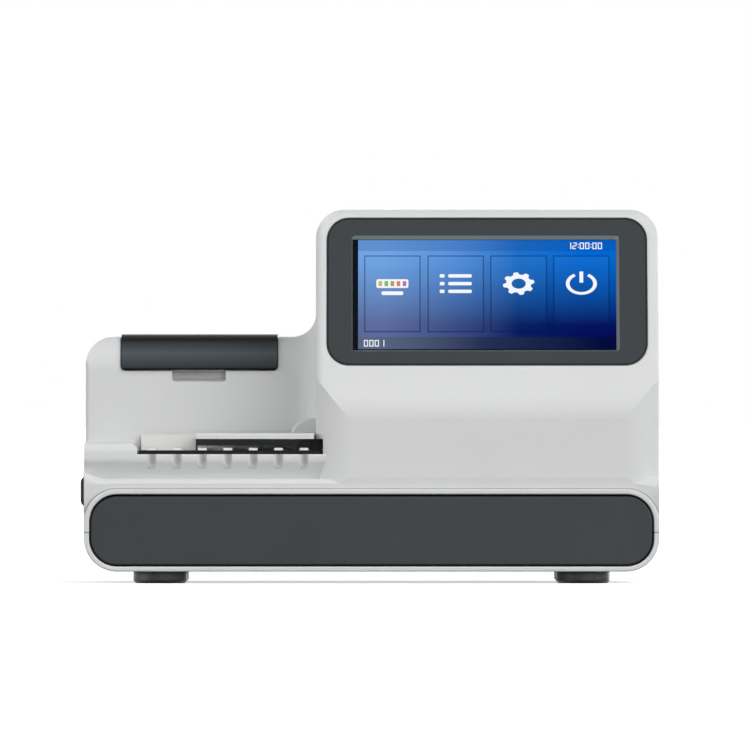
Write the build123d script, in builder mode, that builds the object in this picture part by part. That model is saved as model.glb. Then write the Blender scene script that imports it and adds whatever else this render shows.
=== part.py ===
from build123d import *
import os
from math import sqrt, tan, radians

os.makedirs("parts", exist_ok=True)

# Body: sizes of the front view, and the depth. X is right, -Y is the front, Z is up.
body_width = 340
body_depth = 272
body_height = 221.5
foot_height = 7
parting_height = 30.2
wall = 3
corner_radius = 19.5
back_corner_radius = 12

# Ring round the drawer and the drawer in it
ring_depth = 4
ring_top = 55.7
ring_groove_depth = 1.6
ring_groove_width = 8
ring_edge_radius = 0.9
drawer_gap = 0.5
drawer_front_depth = 8
tray_half_width = 154
tray_floor = 14
tray_top = 46
tray_back = 58
tray_wall = 2

# Strip table and the ledge below it
ledge_height = 61.9
ledge_radius = 5.5
curl_length = 15
curl_rise = 4.6
table_top = 76.4
skirt_bottom_setback = 11.5
nosing_setback = 5
nosing_radius = 1.2
nose_height = 72.5
nose_radius = 6
end_radius = 1
bed_setback = 7.3
bulge_top = 83.3
bulge_right = -138.6
bulge_shoulder = 6
bulge_front_radius = 6.2
bed_left = -137.7

# Strip supports and the travel from one to the next
strip_pitch = 15
first_strip = -130
inner_strips = (-25, -10, 5)
rack_fit = 0.3
platform_left = -29.5
platform_right = 8
platform_front = -122
platform_back = -6.2
strip_count = 7
strip_width = 5.1
bed_top = 78.7
rib_top = 80.1
flute_radius = 2.7
flute_depth = 2.4

# Cover over the transport, and the tunnel into the tower
cover_left = -103.9
cover_right = -34
cover_under = 85.4
cover_top = 88.7
window_right = -44.1
window_wall = 1
hood_left = -47.6
hood_top = 97.7
hood_depth = 18
hood_rim_radius = 1.5

# Left block and printer lid
block_front = -2
block_top = 146
block_edge_radius = 20
block_corner_radius = 16.5
block_front_edge = 2.5
lid_left = -148.9
lid_right = -56
lid_back = 58
lid_bottom = 126.2
lid_proud = 1.5
lid_wall = 2.5
lid_gap = 0.5
lid_corner = 2.5
lid_edge_radius = 1.2

# Tower
tower_left = -33
tower_top_radius = 17
crease_height = 109.3
crown_radius = 16
crease_radius = 28
slope_edge_radius = 5
inner_corner_radius = 14

# Screen frame, as seen from the front: margins to the tower's sides, and those of its window
bezel_margin_left = 6.6
bezel_margin_right = 6.8
bezel_bottom = 129.1
bezel_top = 216.4
bezel_corner = 13
bezel_fit = 0.4
window_margin_left = 14.6
window_margin_right = 16.3
window_bottom = 137.3
window_top = 206
window_corner = 2

# Screen stack, measured square to the slope
glass_overlap = 3.65
bezel_recess = 1.5
bezel_proud = 0.5
glass_thickness = 1.1
display_thickness = 5.5
sheet_thickness = 1.5
board_thickness = 1.6
board_standoff = 6
post_margin = 5
post_low = 42
post_high = 134

# Chassis and drawer slides
chassis_gap = 0.4
chassis_thickness = 2
rail_low = 31
rail_high = 43
rail_inner = 157
slide_gap = 0.4

# Waste chute behind the last strip place
chute_left = 8.3
chute_right = 36
chute_front = -124
chute_back = -8
chute_top = 70.4
chute_wall = 1.5

# Walking beam
slot_places = (-100, -50)
slot_half = 2.2
bar_half = 1.5
bar_left = -134.2
bar_right = 6
bar_low = 71
tooth_width = 4.4
yoke_low = 69.5
rod_radius = 2.45
running_fit = 0.05
beam_rod_places = (-112, -38)
beam_rod_height = 63
beam_screw_height = 66.2
beam_screw_place = -75
beam_middle = -75
foot_sheet = 1.2
motor_radius = 7.5
post_radius = 2

# Reading head
head_rod_places = (-15, 9)
head_screw_place = -3
head_height = 98

# Printer
roll_radius = 22
roll_width = 57
roll_y = 36
roll_height = 106
core_radius = 6.5
core_wall = 1.5
well_gap = 0.4
well_wall = 1.6
well_top = 118
platen_radius = 5
platen_y = 14
platen_height = 132.5
axle_radius = 1.45
hinge_y = 61
hinge_height = 144.6
pin_radius = 1.2
pin_end = 3.5
knuckle_radius = 2.4
grip_left = -118.7
grip_right = -86.8
grip_bottom = 119.2
grip_depth = 7
grip_rise = 2
grip_cut = 20
grip_radius = 2

# Rocker switch on the left side
switch_y = -70
switch_height = 54.2
rocker_half_height = 9.2
rocker_half_width = 5.7
rocker_proud = 2.5
switch_half_height = 10.8
switch_half_width = 7.2
switch_rim = 1.2
switch_depth = 11.5

# Back panel
panel_left = -16
panel_right = 161
panel_low = 62
panel_high = 122
panel_seat = 6
panel_fit = 0.3
inlet_x = 128
inlet_height = 92
serial_x = 70
usb_x = 34
usb_half = 6.5
usb_half_height = 2.9
usb_shell = 0.6
inlet_half = 13.5
inlet_half_height = 10
port_height = 84

# Feet, and the screws of the case
foot_radius = 16
foot_edge = 1.5
foot_x = 125
foot_y = 105
housing_post_x = 150
housing_post_places = (68, 118)
shelf_places = (-110, -30, 112)
drawer_screw_places = (-120, -60, 60, 120)
drawer_screw_height = 30
thread_radius = 1.5
drawer_hole = 1.4
hole_gap = 0.1

# Limits worked out from these
spare = 10
bore_radius = rod_radius + running_fit
pin_bore = pin_radius + running_fit
bar_top = bed_top - 0.3
slot_left = bar_left - 0.8
tooth_top = rib_top - 0.2
left = -body_width / 2
right = body_width / 2
front = -body_depth / 2
back = body_depth / 2
ring_front = front - ring_depth
ring_root = front + ring_groove_depth + 1
bed_front = front + bed_setback
bed_back = block_front - 0.4
tower_middle = (tower_left + right) / 2
block_middle = (lid_left + lid_right) / 2
roll_left = block_middle - roll_width / 2
deck = ledge_height - wall - chassis_gap
chassis_height = deck - chassis_thickness
tunnel_right = tower_left + wall + 1.3
hood_front = block_front - hood_depth
hole_radius = thread_radius + hole_gap
screw_bore = rod_radius + 0.55
shelf_x = right - wall - 4
bezel_left = tower_left + bezel_margin_left
bezel_right = right - bezel_margin_right
window_left = bezel_left + window_margin_left
window_right_edge = bezel_right - window_margin_right
glass_half = (window_right_edge - window_left) / 2 + glass_overlap
post_across = glass_half + post_margin
glass_low = 36
glass_high = 140
glass_top = -bezel_recess - 0.1
display_top = glass_top - glass_thickness
bracket_face = display_top - display_thickness
board_face = bracket_face - sheet_thickness - board_standoff
rack_left = bed_left + 0.7
rack_right = cover_right - 1.9
rack_notch = hood_left - 1.3
rack_front = bed_front + 2.3
rack_back = bed_back - 2
plate_bottom = bed_top - 1
strip_places = [first_strip + strip_pitch * place for place in range(strip_count)]
slope = Plane(
    origin=(tower_middle, front, crease_height), x_dir=(1, 0, 0), z_dir=(0, -sqrt(0.5), sqrt(0.5))
)

slope_reach = body_depth + body_height
up_the_slope = Plane(
    origin=(tower_middle, front, crease_height), x_dir=(1, 0, 0), z_dir=(0, sqrt(0.5), sqrt(0.5))
).offset(-slope_reach)


def middle(limits):
    """The middle of a pair of limits."""
    return (limits[0] + limits[1]) / 2


def around(place, half):
    """A pair of limits, as far to either side of a place."""
    return place - half, place + half


def block(x, y, z, mode=Mode.ADD):
    """A rectangular block between two limits in each direction."""
    with Locations((middle(x), middle(y), middle(z))):
        Box(x[1] - x[0], y[1] - y[0], z[1] - z[0], mode=mode)


def rod(point, direction, radius, length, mode=Mode.ADD):
    """A round rod from a point along a direction."""
    with Locations(Plane(origin=point, z_dir=direction)):
        Cylinder(radius, length, align=(Align.CENTER, Align.CENTER, Align.MIN), mode=mode)


def prism(plane, points, radii, depth, mode=Mode.ADD):
    """A closed outline on a plane with rounded corners, pushed out by a depth."""
    with BuildSketch(plane) as outline:
        with BuildLine():
            FilletPolyline(*points, radius=radii, close=True)
        make_face()
    extrude(outline.sketch, amount=depth, mode=mode)


def seen_from_front(y_back):
    """The plane of the front view at a depth; it faces the viewer."""
    return Plane.XZ.offset(-y_back)


def seen_from_side(x_left):
    """The plane of the side view at a place across the body; it faces right."""
    return Plane.YZ.offset(x_left)


def save(piece, name):
    """Labels a finished piece and writes it."""
    piece.label = name
    export_step(piece, f"parts/{name}.step")


def body_outline(inset, top):
    """Front view of the lower body: rounded bottom corners, plain top."""
    low = foot_height + inset
    points = [(left + inset, low), (right - inset, low), (right - inset, top), (left + inset, top)]
    radius = corner_radius - inset
    return points, [radius, radius, 0, 0]


def ring_outline(inset):
    """Front view of the ring round the drawer, or of anything set in from it all round."""
    low, high = foot_height + inset, ring_top - inset
    points = [(left + inset, low), (right - inset, low), (right - inset, high), (left + inset, high)]
    return points, [corner_radius - inset] * 4


def tower_form(inset):
    """The tower: its plan, cut to the side view and then to the front view."""
    low = parting_height - inset
    x_low, x_high, y_low, y_high = tower_left + inset, right - inset, front + inset, back - inset
    top = body_height - inset
    crease = crease_height - inset * tan(radians(22.5))
    crown = front + (body_height - crease_height) + inset * tan(radians(22.5))
    plan = [(x_low, y_low), (x_high, y_low), (x_high, y_high), (x_low, y_high)]
    side = [(y_low, low), (y_low, crease), (crown, top), (y_high, top), (y_high, low)]
    face = [(x_low, low), (x_high, low), (x_high, top), (x_low, top)]
    edge = corner_radius - inset
    across = (x_high - x_low) / 2
    slope_edge = slope_edge_radius - inset
    head = tower_top_radius - inset
    with BuildPart() as form:
        prism(Plane.XY.offset(low), plan, [edge, edge, back_corner_radius - inset, 0], top - low)
        prism(
            seen_from_side(x_low - spare), side,
            [0, crease_radius - inset, crown_radius - inset, back_corner_radius - inset, 0],
            x_high - x_low + 2 * spare, Mode.INTERSECT,
        )
        # What is rounded off along the two sides of the slope
        with BuildSketch(up_the_slope) as corners:
            for hand in (-1, 1):
                with Locations((hand * (across + (1 - slope_edge) / 2), inset + (slope_edge - 1) / 2)):
                    Rectangle(slope_edge + 1, slope_edge + 1)
                with Locations((hand * (across - slope_edge), inset + slope_edge)):
                    Circle(slope_edge, mode=Mode.SUBTRACT)
        extrude(corners.sketch, amount=2 * slope_reach, mode=Mode.SUBTRACT)
        prism(
            seen_from_front(y_high + spare), face, [0, 0, head, head],
            y_high - y_low + 2 * spare, Mode.INTERSECT,
        )
    return form.part


def block_form(inset):
    """The left block: its side view, cut to the front view and then to the plan."""
    low = parting_height - inset
    top = block_top - inset
    x_low, x_high = left + inset, tower_left + 20
    y_low, y_high = block_front + inset, back - inset
    side = [(y_low, low), (y_low, top), (y_high, top), (y_high, low)]
    face = [(x_low, low), (x_high, low), (x_high, top), (x_low, top)]
    plan = [(x_low, y_low), (x_high, y_low), (x_high, y_high), (x_low, y_high)]
    head, side_head = block_edge_radius - inset, block_corner_radius - inset
    edge, rear = max(block_front_edge - inset, 0), back_corner_radius - inset
    with BuildPart() as form:
        prism(seen_from_side(x_low - spare), side, [0, head, 0, 0], x_high - x_low + 2 * spare)
        prism(
            seen_from_front(y_high + spare), face, [0, 0, 0, side_head],
            y_high - y_low + 2 * spare, Mode.INTERSECT,
        )
        prism(Plane.XY.offset(low), plan, [edge, 0, 0, rear], top - low, Mode.INTERSECT)
    return form.part


def base_form(inset):
    """The straight-sided part above the parting line, up to the ledge, which curls up at its left end."""
    low, high = parting_height - inset, ledge_height - inset
    x_low, x_high, y_low, y_high = left + inset, right - inset, front + inset, back - inset
    plan = [(x_low, y_low), (x_high, y_low), (x_high, y_high), (x_low, y_high)]
    rear = back_corner_radius - inset
    if inset > 0:
        with BuildPart() as form:
            prism(Plane.XY.offset(low), plan, [0, 0, rear, rear], high - low)
        return form.part
    curl = (curl_length**2 + curl_rise**2) / (2 * curl_rise)
    with BuildPart() as form:
        prism(Plane.XY.offset(low), plan, [0, 0, rear, rear], high + curl_rise - low)
        with BuildSketch(seen_from_front(y_high)) as above:
            with Locations((left + curl_length, high + curl)):
                Circle(curl)
            with Locations((left + curl_length, high)):
                Rectangle(body_width, 2 * curl, align=(Align.MIN, Align.MIN))
        extrude(above.sketch, amount=body_depth, mode=Mode.SUBTRACT)
        front_edges = form.edges().filter_by(lambda edge: abs(edge.center().Y - front) < 0.01)
        fillet(front_edges.filter_by(lambda edge: edge.center().Z > high - 0.01), ledge_radius)
    return form.part


def table_form(inset):
    """The strip table: a skirt that leans out to a nosing, and a raised left end."""
    low = ledge_height - inset - 3
    skirt = front + skirt_bottom_setback + inset
    nose = front + nosing_setback + inset
    y_high = block_front + 10
    table, raised = table_top - inset, bulge_top - inset
    edge, end_edge = (nosing_radius, end_radius) if inset == 0 else (0, 0)
    with BuildPart() as form:
        side = [
            (skirt, low), (skirt, ledge_height - inset), (nose, nose_height - inset),
            (nose, table), (y_high, table), (y_high, low),
        ]
        prism(
            seen_from_side(left + inset), side, [0, 0, nose_radius, edge, 0, 0],
            tower_left - left + 20,
        )
    with BuildPart() as end:
        side = [
            (skirt, low), (skirt, ledge_height - inset), (nose, nose_height - inset),
            (nose, raised), (y_high, raised), (y_high, low),
        ]
        prism(
            seen_from_side(left + inset), side, [0, 0, nose_radius, bulge_front_radius - inset, 0, 0],
            bulge_right - left + 5,
        )
        face = [
            (left + inset, low), (bulge_right - inset, low),
            (bulge_right - inset, raised), (left + inset, raised),
        ]
        prism(
            seen_from_front(y_high), face, [0, 0, bulge_shoulder - inset, end_edge],
            body_depth, Mode.INTERSECT,
        )
    return form.part + end.part


def ring_groove():
    """The front wall leans in towards the ring all round it, in two steps."""
    steps = [(ring_groove_width, -0.1), (ring_groove_width / 2, 0.3), (0, 1)]
    with BuildPart() as groove:
        for (grown, depth), (next_grown, next_depth) in zip(steps, steps[1:]):
            with BuildSketch(seen_from_front(front + depth * ring_groove_depth)) as near:
                with BuildLine():
                    points, radii = ring_outline(-grown)
                    FilletPolyline(*points, radius=radii, close=True)
                make_face()
            with BuildSketch(seen_from_front(front + next_depth * ring_groove_depth)) as far:
                with BuildLine():
                    points, radii = ring_outline(-next_grown)
                    FilletPolyline(*points, radius=radii, close=True)
                make_face()
            loft([near.sketch, far.sketch], ruled=True)
    return groove.part


def ring_rim(shell):
    """The edges of the ring's front face, without those of the parting line."""
    at_the_front = shell.edges().filter_by(lambda edge: abs(edge.center().Y - ring_front) < 0.01)
    return at_the_front.filter_by(lambda edge: edge.length > wall + 1)


def slope_panel(inset, low, high):
    """A slab on the slope whose outline, seen from the front, is the screen frame's."""
    x = (bezel_left - inset, bezel_right + inset)
    z = (bezel_bottom - inset, bezel_top + inset)
    points = [(x[0], z[0]), (x[1], z[0]), (x[1], z[1]), (x[0], z[1])]
    with BuildPart() as panel:
        prism(seen_from_front(back), points, [bezel_corner + inset] * 4, body_depth)
        with BuildSketch(slope.offset(low)) as slab:
            Rectangle(2 * slope_reach, 2 * slope_reach)
        extrude(slab.sketch, amount=high - low, mode=Mode.INTERSECT)
    return panel.part


def on_slope(across, up, out, mode=Mode.ADD):
    """A block measured across, up and square out of the slope."""
    with Locations(slope.location * Location((middle(across), middle(up), middle(out)))):
        Box(across[1] - across[0], up[1] - up[0], out[1] - out[0], mode=mode)


# Hood over the back of the tunnel: a quarter of an ellipse from the front, with a rounded rim
with BuildPart() as hood:
    with BuildSketch(seen_from_front(block_front + 2)) as hood_outline:
        with Locations((tower_left, cover_top)):
            Ellipse(tower_left - hood_left, hood_top - cover_top)
        with Locations((hood_left, cover_top - 2)):
            Rectangle(60, 60, align=(Align.MIN, Align.MAX), mode=Mode.SUBTRACT)
        with Locations((tower_left, cover_top - 20)):
            Rectangle(60, 60, align=(Align.MIN, Align.MIN), mode=Mode.SUBTRACT)
    extrude(hood_outline.sketch, amount=hood_depth + 2)
    fillet(hood.edges().group_by(Axis.Y)[0].sort_by(Axis.Z)[-1], hood_rim_radius)
    with BuildSketch(seen_from_front(block_front)) as hood_root:
        with Locations((tower_left, cover_top)):
            Rectangle(4, hood_top - cover_top, align=(Align.MIN, Align.MIN))
    extrude(hood_root.sketch, amount=hood_depth)

# Upper housing: one moulding, hollow and open below
with BuildPart() as upper_housing:
    add(block_form(0))
    add(tower_form(0))
    inner_corner = (
        upper_housing.edges()
        .filter_by(lambda edge: abs(edge.center().X - tower_left) < 0.01 and edge.length > 20)
        .filter_by(lambda edge: block_front - 0.01 < edge.center().Y < back - 20)
        .filter_by(lambda edge: edge.center().Z < block_top + 0.01)
    )
    fillet(inner_corner, inner_corner_radius)
    add(base_form(0))
    add(table_form(0))
    add(hood.part)
    # Upper half of the ring
    add(ring_groove(), mode=Mode.SUBTRACT)
    prism(seen_from_front(ring_root), *ring_outline(0), ring_root - ring_front)
    block((left, right), (ring_front - 1, ring_root), (0, parting_height), Mode.SUBTRACT)
    # The hollow
    add(base_form(wall), mode=Mode.SUBTRACT)
    add(table_form(wall), mode=Mode.SUBTRACT)
    add(block_form(wall), mode=Mode.SUBTRACT)
    add(tower_form(wall), mode=Mode.SUBTRACT)
    # Drawer opening
    prism(seen_from_front(front + wall + 2), *ring_outline(wall), ring_depth + wall + 4, Mode.SUBTRACT)
    fillet(ring_rim(upper_housing), ring_edge_radius)
    # Flutes: upright scoops that run out where the skirt leans back
    for place in strip_places:
        flute = (place, front + nosing_setback + flute_depth - flute_radius, ledge_height + 1)
        rod(flute, (0, 0, 1), flute_radius, 20, Mode.SUBTRACT)
    # Well for the strip mechanism, and the tunnel into the tower
    block(
        (bed_left + 2.7, tower_left + wall), (front + skirt_bottom_setback + wall, bed_back - 2.7),
        (50, table_top + 1), Mode.SUBTRACT,
    )
    block((hood_left - 2, tunnel_right), (bed_front, bed_back), (table_top, cover_under), Mode.SUBTRACT)
    # Finger grip under the lid, with a floor that slopes up to its back
    grip_back = block_front + grip_depth
    block(
        (grip_left - wall, grip_right + wall), (block_front + 1, grip_back + wall),
        (grip_bottom - wall, lid_bottom - 1),
    )
    with BuildSketch(seen_from_front(grip_back)) as grip:
        with Locations((middle((grip_left, grip_right)), grip_bottom + grip_cut / 2)):
            RectangleRounded(grip_right - grip_left, grip_cut, grip_radius)
    extrude(grip.sketch, amount=grip_depth + 5, mode=Mode.SUBTRACT)
    scoop = [
        (block_front, grip_bottom - 1), (block_front, grip_bottom),
        (grip_back + 0.5, grip_bottom + grip_rise), (grip_back + 0.5, grip_bottom - 1),
    ]
    prism(seen_from_side(grip_left), scoop, [0, 0, 0, 0], grip_right - grip_left)
    # Lid opening with the hinge trough behind it
    block((lid_left - 5, lid_right + 5), (lid_back - 1, hinge_y + 6), (hinge_height - 6, block_top - 1))
    opening = [
        (lid_left - lid_gap, lid_bottom - lid_gap), (lid_right + lid_gap, lid_bottom - lid_gap),
        (lid_right + lid_gap, block_top + 5), (lid_left - lid_gap, block_top + 5),
    ]
    prism(
        seen_from_front(lid_back + lid_gap), opening, [lid_corner + lid_gap, lid_corner + lid_gap, 0, 0],
        lid_back - block_front + 10, Mode.SUBTRACT,
    )
    trough = knuckle_radius + 0.8
    cut_width = lid_right - lid_left + 2 * lid_gap
    rod((lid_left - lid_gap, hinge_y, hinge_height), (1, 0, 0), trough, cut_width, Mode.SUBTRACT)
    block(
        (lid_left - lid_gap, lid_right + lid_gap), (lid_back, hinge_y + trough),
        (hinge_height, block_top + 5), Mode.SUBTRACT,
    )
    pin_hole = lid_right - lid_left + 2 * (pin_end + 0.5)
    rod((lid_left - pin_end - 0.5, hinge_y, hinge_height), (1, 0, 0), pin_bore, pin_hole, Mode.SUBTRACT)
    # Recess for the screen frame, and the opening for the glass
    add(slope_panel(bezel_fit, -bezel_recess, 10), mode=Mode.SUBTRACT)
    on_slope(
        (-glass_half - 0.5, glass_half + 0.5), (glass_low - 0.5, glass_high + 0.5), (-10, 1), Mode.SUBTRACT,
    )
    for across in (-post_across, post_across):
        for up in (post_low, post_high):
            with Locations(slope.location * Location((across, up, bracket_face))):
                Cylinder(3.5, -bracket_face - 1.6, align=(Align.CENTER, Align.CENTER, Align.MIN))
    # Shelves that carry the chassis
    for side in (-1, 1):
        for place in shelf_places:
            limits = sorted((side * (shelf_x - 3), side * (right - wall + 1)))
            block(limits, (place - 7, place + 7), (chassis_height - 4, chassis_height))
    # Openings for the switch and the back panel
    block(
        (left - 1, left + wall + 1), around(switch_y, switch_half_width + hole_gap),
        around(switch_height, switch_half_height + hole_gap), Mode.SUBTRACT,
    )
    block(
        (panel_left, panel_right), (back - sheet_thickness, back + 1), (panel_low, panel_high), Mode.SUBTRACT,
    )
    block(
        (panel_left + panel_seat, panel_right - panel_seat), (back - wall - 2, back),
        (panel_low + panel_seat, panel_high - panel_seat), Mode.SUBTRACT,
    )
save(upper_housing.part, "upper_housing")


# Base shell: the lower half of the housing, with the lower half of the ring
def base_shell_form(inset):
    """Front view of the lower body, run back and cut to the plan with rounded rear corners."""
    y_low, y_high = front - 20, back - inset
    plan = [(left + inset, y_low), (right - inset, y_low), (right - inset, y_high), (left + inset, y_high)]
    rear = back_corner_radius - inset
    with BuildPart() as form:
        prism(seen_from_front(y_high), *body_outline(inset, parting_height), y_high - y_low)
        prism(Plane.XY, plan, [0, 0, rear, rear], parting_height + spare, Mode.INTERSECT)
    return form.part


with BuildPart() as base_shell:
    add(base_shell_form(0))
    block((left, right), (front - 30, front), (0, parting_height), Mode.SUBTRACT)
    add(ring_groove(), mode=Mode.SUBTRACT)
    prism(seen_from_front(ring_root), *ring_outline(0), ring_root - ring_front)
    block((left, right), (ring_front - 1, ring_root), (parting_height, ring_top), Mode.SUBTRACT)
    add(base_shell_form(wall), mode=Mode.SUBTRACT)
    fillet(ring_rim(base_shell), ring_edge_radius)
    for side in (-1, 1):
        for place in housing_post_places:
            x = side * housing_post_x
            rod((x, place, foot_height + 1), (0, 0, 1), 5, chassis_height - foot_height - 1)
            rod((x, place, foot_height - 1), (0, 0, 1), hole_radius, chassis_height, Mode.SUBTRACT)
            rod((x, place, foot_height - 1), (0, 0, 1), 4, 3, Mode.SUBTRACT)
        for place in (-foot_y, foot_y):
            rod((side * foot_x, place, foot_height - 1), (0, 0, 1), hole_radius, 10, Mode.SUBTRACT)
save(base_shell.part, "base_shell")

# Feet: rubber, each with a recessed screw
for name, x, y in (
    ("foot_front_left", -foot_x, -foot_y), ("foot_front_right", foot_x, -foot_y),
    ("foot_rear_left", -foot_x, foot_y), ("foot_rear_right", foot_x, foot_y),
):
    with BuildPart() as foot:
        rod((x, y, 0), (0, 0, 1), foot_radius, foot_height)
        chamfer(foot.edges().group_by(Axis.Z)[0], foot_edge)
        rod((x, y, -1), (0, 0, 1), 4.6, 4, Mode.SUBTRACT)
        rod((x, y, 0), (0, 0, 1), hole_radius, 10, Mode.SUBTRACT)
    save(foot.part, name)

with BuildPart() as foot_screws:
    for side in (-1, 1):
        for place in (-foot_y, foot_y):
            rod((side * foot_x, place, 1), (0, 0, 1), 4, 2)
            rod((side * foot_x, place, 2), (0, 0, 1), thread_radius, 7.5)
save(foot_screws.part, "foot_screws")

with BuildPart() as housing_screws:
    for side in (-1, 1):
        for place in housing_post_places:
            rod((side * housing_post_x, place, foot_height + 0.5), (0, 0, 1), 3.5, 1.5)
            thread = deck - foot_height - 1.5
            rod((side * housing_post_x, place, foot_height + 1), (0, 0, 1), thread_radius, thread)
save(housing_screws.part, "housing_screws")

# Chassis: the plate that carries the mechanisms above the drawer bay
with BuildPart() as chassis_plate:
    inner = right - wall - chassis_gap
    with BuildSketch(Plane.XY.offset(chassis_height)) as sheet:
        RectangleRounded(2 * inner, 2 * (back - wall - chassis_gap), 10)
    extrude(sheet.sketch, amount=chassis_thickness)
    block(
        (chute_left - 0.5, chute_right + 0.5), (chute_front - 0.5, chute_back + 0.5),
        (chassis_height - 1, deck + 1), Mode.SUBTRACT,
    )
    block(
        (left, left + switch_depth + 2), around(switch_y, switch_half_width + 1.8),
        (chassis_height - 1, deck + 1), Mode.SUBTRACT,
    )
    for side in (-1, 1):
        for x, places in ((housing_post_x, housing_post_places), (shelf_x, shelf_places)):
            for place in places:
                rod((side * x, place, chassis_height - 1), (0, 0, 1), hole_radius, 10, Mode.SUBTRACT)
save(chassis_plate.part, "chassis_plate")

with BuildPart() as chassis_screws:
    for side in (-1, 1):
        for place in shelf_places:
            rod((side * shelf_x, place, deck), (0, 0, 1), 2.8, 1.6)
            rod((side * shelf_x, place, chassis_height), (0, 0, 1), thread_radius, chassis_thickness + 1)
save(chassis_screws.part, "chassis_screws")

# Waste drawer: front panel, tray, runners and the rails they slide in
panel_inset = wall + drawer_gap
with BuildPart() as drawer_front:
    panel_back = ring_front + 1 + drawer_front_depth
    prism(seen_from_front(panel_back), *ring_outline(panel_inset), drawer_front_depth)
    fillet(drawer_front.edges().group_by(Axis.Y)[0], 1.5)
    prism(
        seen_from_front(ring_front + 10 + drawer_front_depth), *ring_outline(panel_inset + 2.5),
        drawer_front_depth + 6, Mode.SUBTRACT,
    )
    for x in drawer_screw_places:
        rod((x, ring_front + 2.5, drawer_screw_height), (0, 1, 0), drawer_hole, 10, Mode.SUBTRACT)
save(drawer_front.part, "drawer_front")

tray_front = ring_front + 4
with BuildPart() as drawer_tray:
    points = [
        (-tray_half_width, tray_floor), (tray_half_width, tray_floor),
        (tray_half_width, tray_top), (-tray_half_width, tray_top),
    ]
    prism(seen_from_front(tray_back), points, [8, 8, 0, 0], tray_back - tray_front)
    across, floor = tray_half_width - tray_wall, tray_floor + tray_wall
    points = [(-across, floor), (across, floor), (across, tray_top + 5), (-across, tray_top + 5)]
    prism(
        seen_from_front(tray_back - tray_wall), points, [6, 6, 0, 0],
        tray_back - tray_front - 2 * tray_wall, Mode.SUBTRACT,
    )
    for x in drawer_screw_places:
        rod((x, tray_front - 5, drawer_screw_height), (0, 1, 0), drawer_hole, 10, Mode.SUBTRACT)
save(drawer_tray.part, "drawer_tray")

with BuildPart() as drawer_screws:
    for x in drawer_screw_places:
        rod((x, tray_front + tray_wall, drawer_screw_height), (0, 1, 0), 3, 1.8)
        rod((x, ring_front + 2.8, drawer_screw_height), (0, 1, 0), drawer_hole - hole_gap, 4)
save(drawer_screws.part, "drawer_screws")

with BuildPart() as drawer_runners:
    for side in (-1, 1):
        limits = sorted((side * tray_half_width, side * (right - wall - 3.5)))
        block(limits, (tray_front + 8, tray_back - 2), (rail_low + 3, rail_high - 3))
save(drawer_runners.part, "drawer_runners")

for name, side in (("drawer_rail_left", -1), ("drawer_rail_right", 1)):
    with BuildPart() as rail:
        limits = sorted((side * rail_inner, side * (right - wall)))
        block(limits, (tray_front + 8, tray_back + 4), (rail_low, rail_high))
        limits = sorted((side * (rail_inner - 1), side * (right - wall - 2.5)))
        block(
            limits, (tray_front + 7, tray_back + 5),
            (rail_low + 3 - slide_gap, rail_high - 3 + slide_gap), Mode.SUBTRACT,
        )
    save(rail.part, name)

# Screen: frame, glass, display, bracket and main board, all on the slope
with BuildPart() as screen_bezel:
    add(slope_panel(0, -bezel_recess, bezel_proud))
    points = [
        (window_left, window_bottom), (window_right_edge, window_bottom),
        (window_right_edge, window_top), (window_left, window_top),
    ]
    prism(seen_from_front(0), points, [window_corner] * 4, body_depth, Mode.SUBTRACT)
save(screen_bezel.part, "screen_bezel")

with BuildPart() as touch_panel:
    on_slope((-glass_half, glass_half), (glass_low, glass_high), (display_top, -bezel_recess))
save(touch_panel.part, "touch_panel")

with BuildPart() as lcd_module:
    on_slope((1 - glass_half, glass_half - 1), (glass_low + 1, glass_high - 1), (bracket_face, display_top))
save(lcd_module.part, "lcd_module")

with BuildPart() as lcd_bracket:
    on_slope(
        (-post_across - 4, post_across + 4), (glass_low + 2, glass_high - 2),
        (bracket_face - sheet_thickness, bracket_face),
    )
    on_slope((-60, 60), (60, 116), (bracket_face - 5, bracket_face + 5), Mode.SUBTRACT)
    for across in (-68, 68):
        for up in (50, 126):
            with Locations(slope.location * Location((across, up, board_face))):
                Cylinder(3, board_standoff + 0.5, align=(Align.CENTER, Align.CENTER, Align.MIN))
save(lcd_bracket.part, "lcd_bracket")

with BuildPart() as mainboard:
    on_slope((-75, 75), (44, 132), (board_face - board_thickness, board_face))
    for across, up, width, height, thick in (
        (-20, 95, 26, 26, 2.2), (20, 90, 18, 12, 1.6), (48, 108, 14, 20, 6),
        (-52, 70, 10, 36, 8), (30, 60, 40, 8, 7),
    ):
        low = board_face - board_thickness - thick
        on_slope(around(across, width / 2), around(up, height / 2), (low, low + thick + 0.5))
save(mainboard.part, "mainboard")

# Strip table: black bed, white rack with the strip supports, light cover with a smoked window
with BuildPart() as transport_bed:
    seat = (plate_bottom, bed_top + 1)
    block((bed_left, platform_left - 0.5), (bed_front, bed_back), (table_top, bed_top))
    block((platform_left - 0.6, platform_right), (platform_front, platform_back), (table_top, bed_top))
    block(
        (rack_left - rack_fit, rack_notch + rack_fit), (rack_front - rack_fit, rack_back + rack_fit),
        seat, Mode.SUBTRACT,
    )
    block(
        (rack_notch, rack_right + rack_fit), (rack_front - rack_fit, hood_front - 0.6),
        seat, Mode.SUBTRACT,
    )
    for place in slot_places:
        slot = around(place, slot_half)
        block((slot_left, bar_right + spare), slot, (bar_low - 1, rib_top + 5), Mode.SUBTRACT)
save(transport_bed.part, "transport_bed")

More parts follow.
